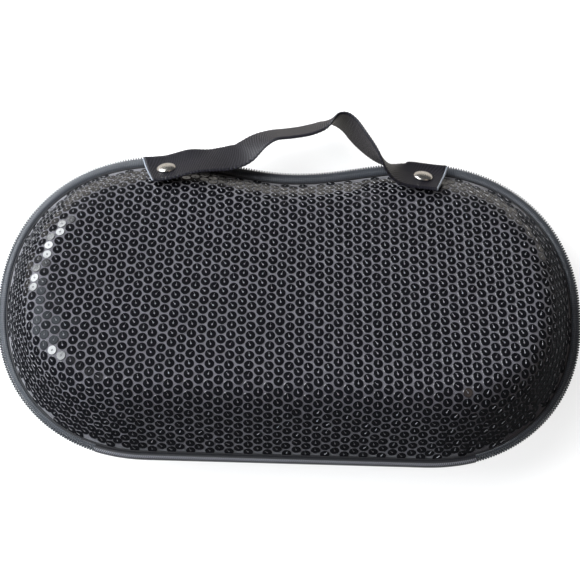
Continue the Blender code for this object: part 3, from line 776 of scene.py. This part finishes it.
def flange_core(name, side, looks):
    """The foam shell, with its flange under the zip tape."""
    point, normal = rim("all", CORE_SPACING)[:2]
    section = wall(point, normal, CORE_INSET, FLANGE_TOP)
    flange = np.stack([np.full(len(point), FLANGE_OUT), np.full(len(point), FLANGE_TOP)], 1)[:, None]
    section = np.concatenate([flange, section], axis=1)
    grid = placed(point, normal, section[..., 0], section[..., 1], side)
    item = mesh_object(name, grid, bowl_faces(grid, side), looks["foam"], smooth=50)
    return thicken(face_out(item, side), CORE)


def shade_cord(prefix, side, looks):
    """A near-black cord round the seam between the zip tape and the wall: a dark thing put there as
    painted shade for the crease.
    """
    point, normal = rim("all", RIM_SPACING)[:2]
    turn = turns_of(SHADE_CORD_SIDES)
    inset = (foot_inset(normal) + SHADE_CORD_SHIFT)[:, None] + SHADE_CORD_R * np.cos(turn)[None]
    height = FLANGE_TOP + FIT + SHADE_CORD_R * (1 + np.sin(turn))
    grid = placed(point, normal, inset, height, side)
    faces = swept(grid, closed=True)
    item = mesh_object(prefix + "_shade_cord", grid, faces, looks["stitch"], smooth=180)
    settle(outward(item), prefix)


def shell_half(prefix, side, looks):
    sequins(prefix, side, looks)
    start = FLANGE_TOP + FIT + COVER_START
    net = moulded(prefix + "_sequin_net", side, looks["net"], 0.0, start, SKIN)
    settle(net, prefix, [prefix + "_sequin_skin"])
    settle(flange_core(prefix + "_foam_core", side, looks), prefix, [prefix + "_shell"])
    lining = moulded(
        prefix + "_velour", side, looks["velour"], LINING_INSET, FIT + LINING, LINING
    )
    settle(lining, prefix, [prefix + "_lining"])
    zip_teeth(prefix, side, looks)
    zip_tape(prefix, side, looks)
    shade_cord(prefix, side, looks)
    inner_binding(prefix, side, looks)


# --- strap and rivets ---

STRAP_STEP, STRAP_COLUMNS, ROUND_FROM = 0.33, 25, 0.93
RIB_RELIEF, DOT_RELIEF, WEAVE_DEPTH = 0.2 * MM, 0.26 * MM, 0.13 * MM
FOLD_RISE, FOLD_REACH, CLOSE_REACH, CLOSE_MIN, EDGE_RELIEF = 0.35 * MM, 2.2 * MM, 1.0 * MM, 0.02, 0.4
# The part of the strap that lies on the lid, as shares of its length from its middle.
LYING_FROM, LYING_OVER = 0.3, 0.08
BEND_FROM, BEND_DROP, BEND_OUT, BEND_IN = 0.15, 5.2 * MM, 0.75, 0.25
CUT_REACH, CUT_SLANT, CUT_MIDDLE = 9 * MM, 6.0 * MM, 0.2
CUT_SIDES = 10
# The rivet's cap and shank: radii and heights in millimetres.
CAP_R, CAP_RISE, CAP_RIM_R, CAP_FACE_R, CAP_STEPS, CAP_SIDES = 5.4, 1.75, 5.3, 4.9, 12, 48
CAP_GAP, CAP_WALL, CAP_CURL, CAP_FIRST = 0.15, 0.35, 0.1, 0.02
SHANK_R, SHANK_END, TIP_R, TIP_END = 1.4, -10.4, 0.9, -10.6


def smooth_route():
    """The strap's route through all its stops, as even short steps: place and lean."""
    route = np.array(STRAP_ROUTE, float)
    knots = running(route[:, :3])
    slope = np.gradient(route, knots, axis=0)
    at = np.arange(0, knots[-1], STRAP_STEP)
    k = np.clip(np.searchsorted(knots, at, side="right") - 1, 0, len(knots) - 2)
    span = (knots[k + 1] - knots[k])[:, None]
    t = ((at - knots[k]) / span[:, 0])[:, None]
    made = (
        route[k] * (1 + 2 * t) * (1 - t) ** 2
        + slope[k] * span * t * (1 - t) ** 2
        + route[k + 1] * t**2 * (3 - 2 * t)
        + slope[k + 1] * span * t**2 * (t - 1)
    )
    return made[:, :3] * MM, np.radians(made[:, 3]), at * MM


def strap_axes(point, lean, ease=0):
    """Directions along, across and out of the webbing, eased over some steps of the route."""
    along = unit(np.gradient(point, axis=0))
    inward = unit(np.stack([along[:, 1], -along[:, 0], np.zeros(len(along))], 1))
    width = np.array([0, 0, 1.0]) * np.cos(lean)[:, None] + inward * np.sin(lean)[:, None]
    if ease:
        weight = np.hanning(2 * ease + 1) / ease
        padded = np.pad(width, ((ease, ease), (0, 0)), mode="edge")
        width = unit(np.stack([np.convolve(padded[:, k], weight, mode="valid") for k in range(3)], 1))
    face = unit(np.cross(width, along))
    return along, width, face


def webbing_half(stops, across):
    """Half the webbing's thickness: ribs, dotted selvedges, round edges and closed ends."""
    phase = stops[:, None] / RIB + across[None] * RIB_SLANT
    rib = RIB_RELIEF * np.abs(np.sin(pi * phase))
    dots = DOT_RELIEF * np.abs(np.sin(pi * stops[:, None] / SELVEDGE_STITCH))
    relief = np.where((np.abs(across) > SELVEDGE)[None], dots, rib)
    edge_share = ((np.abs(across) - ROUND_FROM) / (1 - ROUND_FROM)).clip(0, 1)
    edge = np.sqrt(1 - edge_share**2)
    near_end = np.minimum(stops, stops[-1] - stops)
    fold = FOLD_RISE * np.exp(-((near_end / FOLD_REACH) ** 2))
    close = np.sqrt(np.clip(1 - (1 - near_end / CLOSE_REACH).clip(0, 1) ** 2, CLOSE_MIN, 1))
    thick = (STRAP_T / 2 - WEAVE_DEPTH) * edge
    shown = EDGE_RELIEF + (1 - EDGE_RELIEF) * edge[None]
    return (thick[None] + relief * shown + fold[:, None]) * close[:, None]


def webbing_spread(stops, across, along, width, face):
    """Where each line of the webbing runs beside its middle line."""
    end = stops[-1]
    # Near each end the outer part of the webbing bends down over the rim.
    lying = np.clip((np.abs(stops / end - 0.5) - LYING_FROM) / LYING_OVER, 0, 1)
    lying = (lying * lying * (3 - 2 * lying))[:, None]
    outer = np.clip(-across - BEND_FROM, 0, 1)[None]
    drop = (lying * outer**2 * BEND_DROP)[..., None]
    spread = across[None, :, None] * (STRAP_W / 2) * width[:, None]
    spread = spread + drop * BEND_OUT * face[:, None] - drop * BEND_IN * width[:, None]
    # The cut ends run out a little further at the rim than up on the wall.
    near_end = np.minimum(stops, end - stops)
    slant = np.clip(1 - near_end / CUT_REACH, 0, 1)[:, None] * (CUT_MIDDLE - across[None] / 2) * CUT_SLANT
    return spread + (slant * np.where(stops < end / 2, -1.0, 1.0)[:, None])[..., None] * along[:, None]


def strap(looks):
    """The webbing handle: one ribbed strap with a bead along each cut end, coloured light as a painted
    highlight.
    """
    point, lean, stops = smooth_route()
    along, width, face = strap_axes(point, lean, STRAP_EASE)
    across = np.linspace(-1, 1, STRAP_COLUMNS)
    half = webbing_half(stops, across)
    middle = point[:, None] + webbing_spread(stops, across, along, width, face)
    top = middle + face[:, None] * half[..., None]
    under = middle - face[:, None] * half[..., None]
    grid = np.concatenate([top, under[:, ::-1]], axis=1)
    uv = pairs(stops, there_and_back(across) * STRAP_W / 2)
    item = cloth_strip("handle_webbing", grid, looks["webbing"], uv, 70)
    settle(item, None, ["handle_strap", "strap_end_left", "strap_end_right"])
    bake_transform(item)
    for word, k in (("left", 0), ("right", -1)):
        cut_edge("handle_cut_edge_" + word, middle[k], along[k], face[k], CUT_EDGE_R[word], looks)


def cut_edge(name, line, along, face, radius, looks):
    """The melted bead along one cut end of the webbing; its light grey-blue colour is a painted
    highlight.
    """
    turn = turns_of(CUT_SIDES)
    bulge = np.cos(turn)[:, None] * along + np.sin(turn)[:, None] * face
    item = cloth_strip(name, line[1:-1, None] + radius * bulge[None], looks["cut_edge_highlight"], smooth=50)
    settle(item, "lid")


def turned(name, profile, frame_matrix, look):
    """A solid turned round Z from (radius, height) points in millimetres, top to bottom."""
    points, faces = ring_template([(r * MM, h * MM) for r, h in profile], CAP_SIDES)
    last = (len(profile) - 1) * CAP_SIDES
    faces += [list(range(CAP_SIDES)), list(range(last, last + CAP_SIDES))[::-1]]
    rotation, shift = np.array(frame_matrix.to_3x3()), np.array(frame_matrix.translation)
    item = mesh_object(name, points @ rotation.T + shift, faces, look, smooth=40)
    return outward(item)


def rivets(looks):
    """Domed caps on the strap's ends, with their shanks down to the washers."""
    route = np.array(STRAP_ROUTE, float)
    top = STRAP_T / 2 / MM + CAP_GAP
    turns = np.linspace(CAP_FIRST, pi / 2, CAP_STEPS)
    cap = [(CAP_R * sin(a), top + CAP_WALL + CAP_RISE * cos(a)) for a in turns]
    cap += [(CAP_RIM_R, top + CAP_CURL), (CAP_FACE_R, top), (SHANK_R, top)]
    cap += [(SHANK_R, SHANK_END), (TIP_R, TIP_END)]
    for word, stop in RIVET_STOPS.items():
        around = slice(stop - 1, stop + 2)
        point = route[around, :3] * MM
        along, _, face = strap_axes(point, np.radians(route[around, 3]))
        axes = Matrix([along[1], np.cross(face[1], along[1]), face[1]]).transposed().to_4x4()
        item = turned("rivet_dome_" + word, cap, Matrix.Translation(point[1]) @ axes, looks["nickel"])
        settle(item, "lid", ["rivet_" + word])


# --- inside ---

MESH_PITCH, MESH_R, MESH_STEP, MESH_WAVE = 1.8 * MM, 0.28 * MM, 1.4 * MM, 0.2 * MM
HEM_W, HEM_T = 5 * MM, 0.7 * MM
STITCH_PITCH, STITCH_PROBE, STITCH_HALF = 3.2 * MM, 0.2 * MM, 0.2 * MM
STRAND_SLOPE, STRAND_SIDES, STRAND_APART, STRAND_FLAT = radians(58), 4, 0.4, 0.7
# The hem's section: shares of its width and of half its thickness.
HEM_ACROSS = (0, 0.04, 0.1, 0.9, 0.96, 1, 0.96, 0.9, 0.1, 0.04)
HEM_RISE = (0, -0.8, -1, -1, -0.8, 0, 0.8, 1, 1, 0.8)
GATHER_STEP, GATHER_PITCH, GATHER, GATHER_ERROR, GATHER_SIDES = 0.4 * MM, 2.6 * MM, 0.16, 0.02, 12
POCKET_SPACING = 2 * MM
BAND_RELIEF, BAND_STEP, TAB_STEP, SLAB_COLUMNS = 0.15 * MM, 1.5 * MM, 0.5 * MM, 61
END_MIN, SIDE_MIN, SIDE_POWER, SIDE_ROOT, BAND_POWER, TAB_POWER = 0.04, 0.02, 24, 0.25, 200, 6
BOX_X, BOX_Y, BOX_LIFT = TAB * 0.36, BAND_W * 0.4, 0.1 * MM
# A stitch of the lining and its bands: distance along it and its height, in millimetres.
STITCH_LINE = ((-1.25, -0.1), (-0.8, 0.18), (0.8, 0.18), (1.25, -0.1))


def plane_matrix(side):
    """The plane of the pocket in the lid, or of the floor of the base."""
    tall = MID_DEPTH - POCKET_DROP / cos(TILT) if side > 0 else -MID_DEPTH + INSIDE / cos(TILT)
    return Matrix.Translation((0, 0, tall)) @ Matrix.Rotation(-TILT * side, 4, "X")


def raised(flat_grid, rise):
    """A grid of flat points with the height of each column."""
    return np.dstack([flat_grid, np.broadcast_to(rise, flat_grid.shape[:2])])


def on_plane(matrix, points):
    return np.asarray(points) @ np.array(matrix.to_3x3()).T + np.array(matrix.translation)


def stitch_row(path, up):
    """Places and axes (along, across, up) of evenly spaced stitches on a path."""
    length = running(path)
    stops = np.arange(STITCH_PITCH / 2, length[-1], STITCH_PITCH)
    centre = sampled(path, length, stops)
    ahead = sampled(path, length, stops + STITCH_PROBE)
    along = unit(ahead - centre)
    up = unit(np.broadcast_to(up, along.shape) - along * (along * up).sum(1, keepdims=True))
    return centre, np.stack([along, np.cross(up, along), up], 1)


def stitched(name, rows, body, look):
    """Rows of stitches as one piece; rows are pairs of a path and its up direction."""
    centre, axes = (np.concatenate(part) for part in zip(*(stitch_row(*row) for row in rows)))
    half = STITCH_HALF
    bar = [(x * MM, y, z * MM if y == 0 else -half) for x, z in STITCH_LINE for y in (-half, 0, half)]
    points, faces = repeated(np.array(bar), grid_faces(len(STITCH_LINE), 3), centre, axes)
    settle(mesh_object(name, points, faces, look), body)


def pocket_outline():
    """Where the pocket meets the wall, left to right, in the plane of the pocket."""
    point, normal = rim("all", POCKET_SPACING)[:2]
    section = wall(point, normal, INSIDE + FIT, 0.0)
    made = []
    for index in range(len(point)):
        one = slice(index, index + 1)
        inset, height = section[index].T
        gap = flat_height(point[one], normal[one], inset, POCKET_DROP) - height
        reach = np.interp(0, -gap, inset) + POCKET_SIDE_GAP
        made.append(point[index] - normal[index] * reach)
    made = np.array(made)
    made = made[made[:, 1] < POCKET_TOP_Y]
    order = np.argsort(np.arctan2(made[:, 1] - POCKET_TOP_Y, made[:, 0]))
    return made[order] * [1, 1 / cos(TILT)]


def line_inside(outline, way, offset):
    """Where a straight line crosses a convex outline, as distances along it."""
    side = outline @ np.array([-way[1], way[0]]) - offset
    ahead = np.roll(side, -1)
    cross = np.flatnonzero((side < 0) != (ahead < 0))
    if len(cross) < 2:
        return None
    share = side[cross] / (side[cross] - ahead[cross])
    spot = outline[cross] + (np.roll(outline, -1, axis=0)[cross] - outline[cross]) * share[:, None]
    along = np.sort(spot @ way)
    return along[0], along[-1]


def net_strands(outline, plane):
    """Two crossing families of wavy knitted strands that fill the outline."""
    points, faces, first = [], [], 0
    turn = turns_of(STRAND_SIDES)
    for slope, layer in ((STRAND_SLOPE, 1), (-STRAND_SLOPE, -1)):
        way = np.array([cos(slope), sin(slope)])
        aside = np.array([-way[1], way[0]])
        far = np.abs(outline @ aside).max()
        for offset in np.arange(-far, far, MESH_PITCH):
            ends = line_inside(outline, way, offset)
            if ends is None or ends[1] - ends[0] < 3 * MESH_STEP:
                continue
            t = np.arange(ends[0], ends[1], MESH_STEP)
            bend = MESH_WAVE * np.sin(2 * pi * t / (2 * MESH_STEP) + offset / MESH_PITCH)
            middle = t[:, None] * way + (offset + bend)[:, None] * aside
            ring = middle[:, None] + MESH_R * np.cos(turn)[None, :, None] * aside
            rise = layer * MESH_R * STRAND_APART + MESH_R * STRAND_FLAT * np.sin(turn)
            grid = raised(ring, rise)
            points.append(grid.reshape(-1, 3))
            faces += [[corner + first for corner in face] for face in swept(grid)]
            first += grid.shape[0] * STRAND_SIDES
    return on_plane(plane, np.concatenate(points)), faces


def pocket(looks):
    outline = pocket_outline()
    plane = plane_matrix(1)
    up = -np.array(plane.to_3x3())[:, 2]
    points, faces = net_strands(outline, plane)
    net = mesh_object("lid_pocket_net", points, faces, looks["mesh"], smooth=180)
    hem = pocket_hem(outline, plane, looks)
    outward(net)
    settle(net, "lid", ["lid_mesh_pocket"])
    inner = outline * (1 - HEM_W / 2 / np.linalg.norm(outline, axis=1))[:, None]
    inner = np.hstack([inner, np.full((len(inner), 1), -HEM_T / 2)])
    stitched("lid_pocket_stitches", [(on_plane(plane, inner), up)], "lid", looks["grey_stitch"])
    pocket_elastic(outline, plane, looks)


def pocket_hem(outline, plane, looks):
    """Binding tape over the sewn edge of the net."""
    way = unit(np.gradient(outline, axis=0))
    inward = np.stack([-way[:, 1], way[:, 0]], 1)
    across = np.array(HEM_ACROSS) * HEM_W
    flat_grid = outline[:, None] + across[None, :, None] * inward[:, None]
    grid = on_plane(plane, raised(flat_grid, np.array(HEM_RISE) * HEM_T / 2))
    uv = pairs(running(outline), across)
    return settle(cloth_strip("lid_pocket_hem", grid, looks["tape"], uv), "lid")


def pocket_elastic(outline, plane, looks):
    """The gathered elastic across the top of the pocket."""
    half = outline[:, 0].max() - POCKET_CORNER_GAP
    x = np.arange(-half, half, GATHER_STEP)
    turn = turns_of(GATHER_SIDES)
    gather = 1 + GATHER * np.sin(2 * pi * x / GATHER_PITCH) + chance.normal(0, GATHER_ERROR, len(x))
    radius = ELASTIC_T / 2 * gather[:, None]
    centre = (POCKET_TOP_Y + FIT + ELASTIC_T / 2) / cos(TILT)
    rings = (np.broadcast_to(x[:, None], (len(x), GATHER_SIDES)), centre + radius * np.cos(turn))
    grid = on_plane(plane, np.dstack([*rings, radius * np.sin(turn)]))
    uv = pairs(x, turn * ELASTIC_T / 2)
    item = cloth_strip("lid_pocket_hem_elastic", grid, looks["elastic"], uv)
    settle(item, "lid", ["lid_pocket_elastic"])


def slab(half_x, half_y, thick, rib, step, power):
    """A sheet on the floor plane with rounded sides and ribs along it: (rows, ring, 3)."""
    x = np.linspace(-half_x, half_x, int(2 * half_x / step) + 1)
    across = np.linspace(-1, 1, SLAB_COLUMNS)
    ends = (1 - np.abs(x / half_x) ** power).clip(END_MIN, 1) ** (1 / power)
    side = (1 - np.abs(across) ** SIDE_POWER).clip(SIDE_MIN, 1) ** SIDE_ROOT
    relief = rib * np.abs(np.sin(pi * across * half_y / ELASTIC_RIB))
    top = (thick / 2 * side + relief)[None] * ends[:, None]
    low = -thick / 2 * side[None] * ends[:, None]
    flat_grid = pairs(x, there_and_back(across) * half_y)
    return np.dstack([flat_grid, np.concatenate([top, low[:, ::-1]], axis=1)])


def box_path(centre):
    """A stitched box with one diagonal, over a tab."""
    corners = [(-1, -1), (1, -1), (1, 1), (-1, 1), (-1, -1), (1, 1)]
    return np.array([(x * BOX_X, y * BOX_Y, 0) for x, y in corners]) + centre


def retainer(looks):
    """The elastic band on the floor of the base, with a stitched tab under each end."""
    plane = plane_matrix(-1)
    up = np.array(plane.to_3x3())[:, 2]
    grid = slab(BAND_HALF, BAND_W / 2, BAND_T, BAND_RELIEF, BAND_STEP, BAND_POWER)
    uv = grid[..., :2].copy()
    grid[..., 2] += BAND_RISE + BAND_T / 2
    item = cloth_strip("retainer_elastic", on_plane(plane, grid), looks["elastic"], uv)
    settle(item, "base", ["retainer_band"])
    rows = []
    for word, side in (("left", -1), ("right", 1)):
        grid = slab(TAB / 2, BAND_W / 2, BAND_RISE - 2 * FIT, 0.0, TAB_STEP, TAB_POWER)
        centre = np.array([side * (BAND_HALF - TAB / 2), 0, BAND_RISE / 2])
        tab = cloth_strip("retainer_velour_" + word, on_plane(plane, grid + centre), looks["velour"])
        settle(tab, "base", ["retainer_tab_" + word])
        top = centre + [0, 0, BAND_RISE / 2 + BAND_T + BOX_LIFT]
        rows.append((on_plane(plane, box_path(top)), up))
    stitched("retainer_stitches", rows, "base", looks["grey_stitch"])


# --- stage ---


FLOOR_HALF, FLOOR_GLOW = 6.0, 0.75
SKY, SKY_STRENGTH = (0.9, 0.95, 1.0, 1), 0.08
STAGE_CENTRE = (0, 0, 0.03)
WHITE, DAYLIGHT, BLUE_SKY, LAMPLIGHT = (1, 1, 1), (0.95, 0.98, 1.0), (0.8, 0.9, 1.0), (1.0, 0.8, 0.68)
# Name, place, size in metres, power in watts, colour, seen in glossy surfaces.
LIGHTS = (
    ("overhead", (-0.7, 0.62, 1.15), (1.2, 1.2), 23, WHITE, False),
    ("fill", (-1.15, -0.4, 0.4), (0.8, 0.6), 22, (0.88, 0.94, 1.0), False),
    ("window_back", (-0.84, 0.84, 0.5), (0.6, 0.36), 15, DAYLIGHT, True),
    ("window_front", (-0.84, 0.13, 0.97), (0.5, 0.42), 14, DAYLIGHT, True),
    ("window_wall", (-1.05, 0.62, 0.88), (1.3, 0.9), 7, BLUE_SKY, True),
    ("room", (0.75, -0.16, 1.05), (0.45, 0.45), 1.2, LAMPLIGHT, True),
)
# The strip of pale floor behind the case that shows in its glossy surfaces; it shines straight up.
TABLE = ("table", (0, 0.13, 0.003), (1.4, 0.12), 0.36, (1, 0.95, 0.88), True)
# The camera looks at the parting plane from its front side, leaning back and a little rolled.
LENS, SENSOR, AWAY, LEAN, AIM_Y, ROLL = 62.4, 36, 557 * MM, radians(18), 8.6 * MM, radians(1.6)
NEAR_CLIP = 0.01


def area_light(name, place, size, power, colour, glossy, target=STAGE_CENTRE):
    data = bpy.data.lights.new(name, "AREA")
    data.shape = "RECTANGLE"
    data.size, data.size_y = size
    data.energy = power
    data.color = colour
    item = linked(name, data)
    item.location = place
    item.rotation_euler = (Vector(target) - Vector(place)).to_track_quat("-Z", "Y").to_euler()
    item.visible_camera = False
    item.visible_glossy = glossy
    return item


def make_floor():
    """A plain pale floor that the case's own surfaces don't reflect."""
    data = bpy.data.meshes.new("floor")
    corners = [(x * FLOOR_HALF, y * FLOOR_HALF, 0) for x, y in ((-1, -1), (1, -1), (1, 1), (-1, 1))]
    data.from_pydata(corners, [], [(0, 1, 2, 3)])
    floor = linked("floor", data)
    pale = cloudy("floor_pale", 0.9, (0.30, 0.30, 0.30), (0.33, 0.33, 0.33), 6, Specular_IOR_Level=0.0)
    pale.shader.inputs["Emission Color"].default_value = (1, 1, 1, 1)
    pale.shader.inputs["Emission Strength"].default_value = FLOOR_GLOW
    data.materials.append(pale.made)
    floor.visible_diffuse = False
    floor.visible_glossy = False


def make_stage():
    make_floor()
    world = bpy.data.worlds.new("studio")
    world.use_nodes = True
    sky = world.node_tree.nodes["Background"]
    sky.inputs["Color"].default_value = SKY
    sky.inputs["Strength"].default_value = SKY_STRENGTH
    bpy.context.scene.world = world
    for light in LIGHTS:
        area_light(*light)
    table = area_light(*TABLE, (0, 0.13, 1))
    table.visible_diffuse = False
    bpy.context.scene.view_settings.view_transform = "Standard"


def make_camera():
    """Looks down at the lid from the hinge side, nearly square to the parting plane."""
    data = bpy.data.cameras.new("camera")
    data.lens = LENS
    data.sensor_width = SENSOR
    data.clip_start = NEAR_CLIP
    item = linked("camera", data)
    place = LAY @ Vector((0, AIM_Y - AWAY * sin(LEAN), AWAY * cos(LEAN)))
    target = LAY @ Vector((0, AIM_Y, 0))
    item.location = place
    turn = (target - place).to_track_quat("-Z", "Y").to_matrix() @ Matrix.Rotation(ROLL, 3, "Z")
    item.rotation_euler = turn.to_euler()
    bpy.context.scene.camera = item


METAL_EDGE = 0.15 * MM


def finish_metal(item, look):
    """Sliders, pulls and washers stay the CAD's own solids, with their edges broken."""
    item.data.materials.clear()
    item.data.materials.append(look)
    edge = item.modifiers.new("edges", "BEVEL")
    edge.width = METAL_EDGE
    edge.segments = 2
    edge.limit_method = "ANGLE"


def main():
    looks = make_looks()
    make_camera()
    make_stage()
    for prefix, side in (("base", -1), ("lid", 1)):
        shell_half(prefix, side, looks)
    hinge_tape(looks)
    strap(looks)
    rivets(looks)
    pocket(looks)
    retainer(looks)
    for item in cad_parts.values():
        if not item.hide_render:
            finish_metal(item, looks["nickel"])


main()
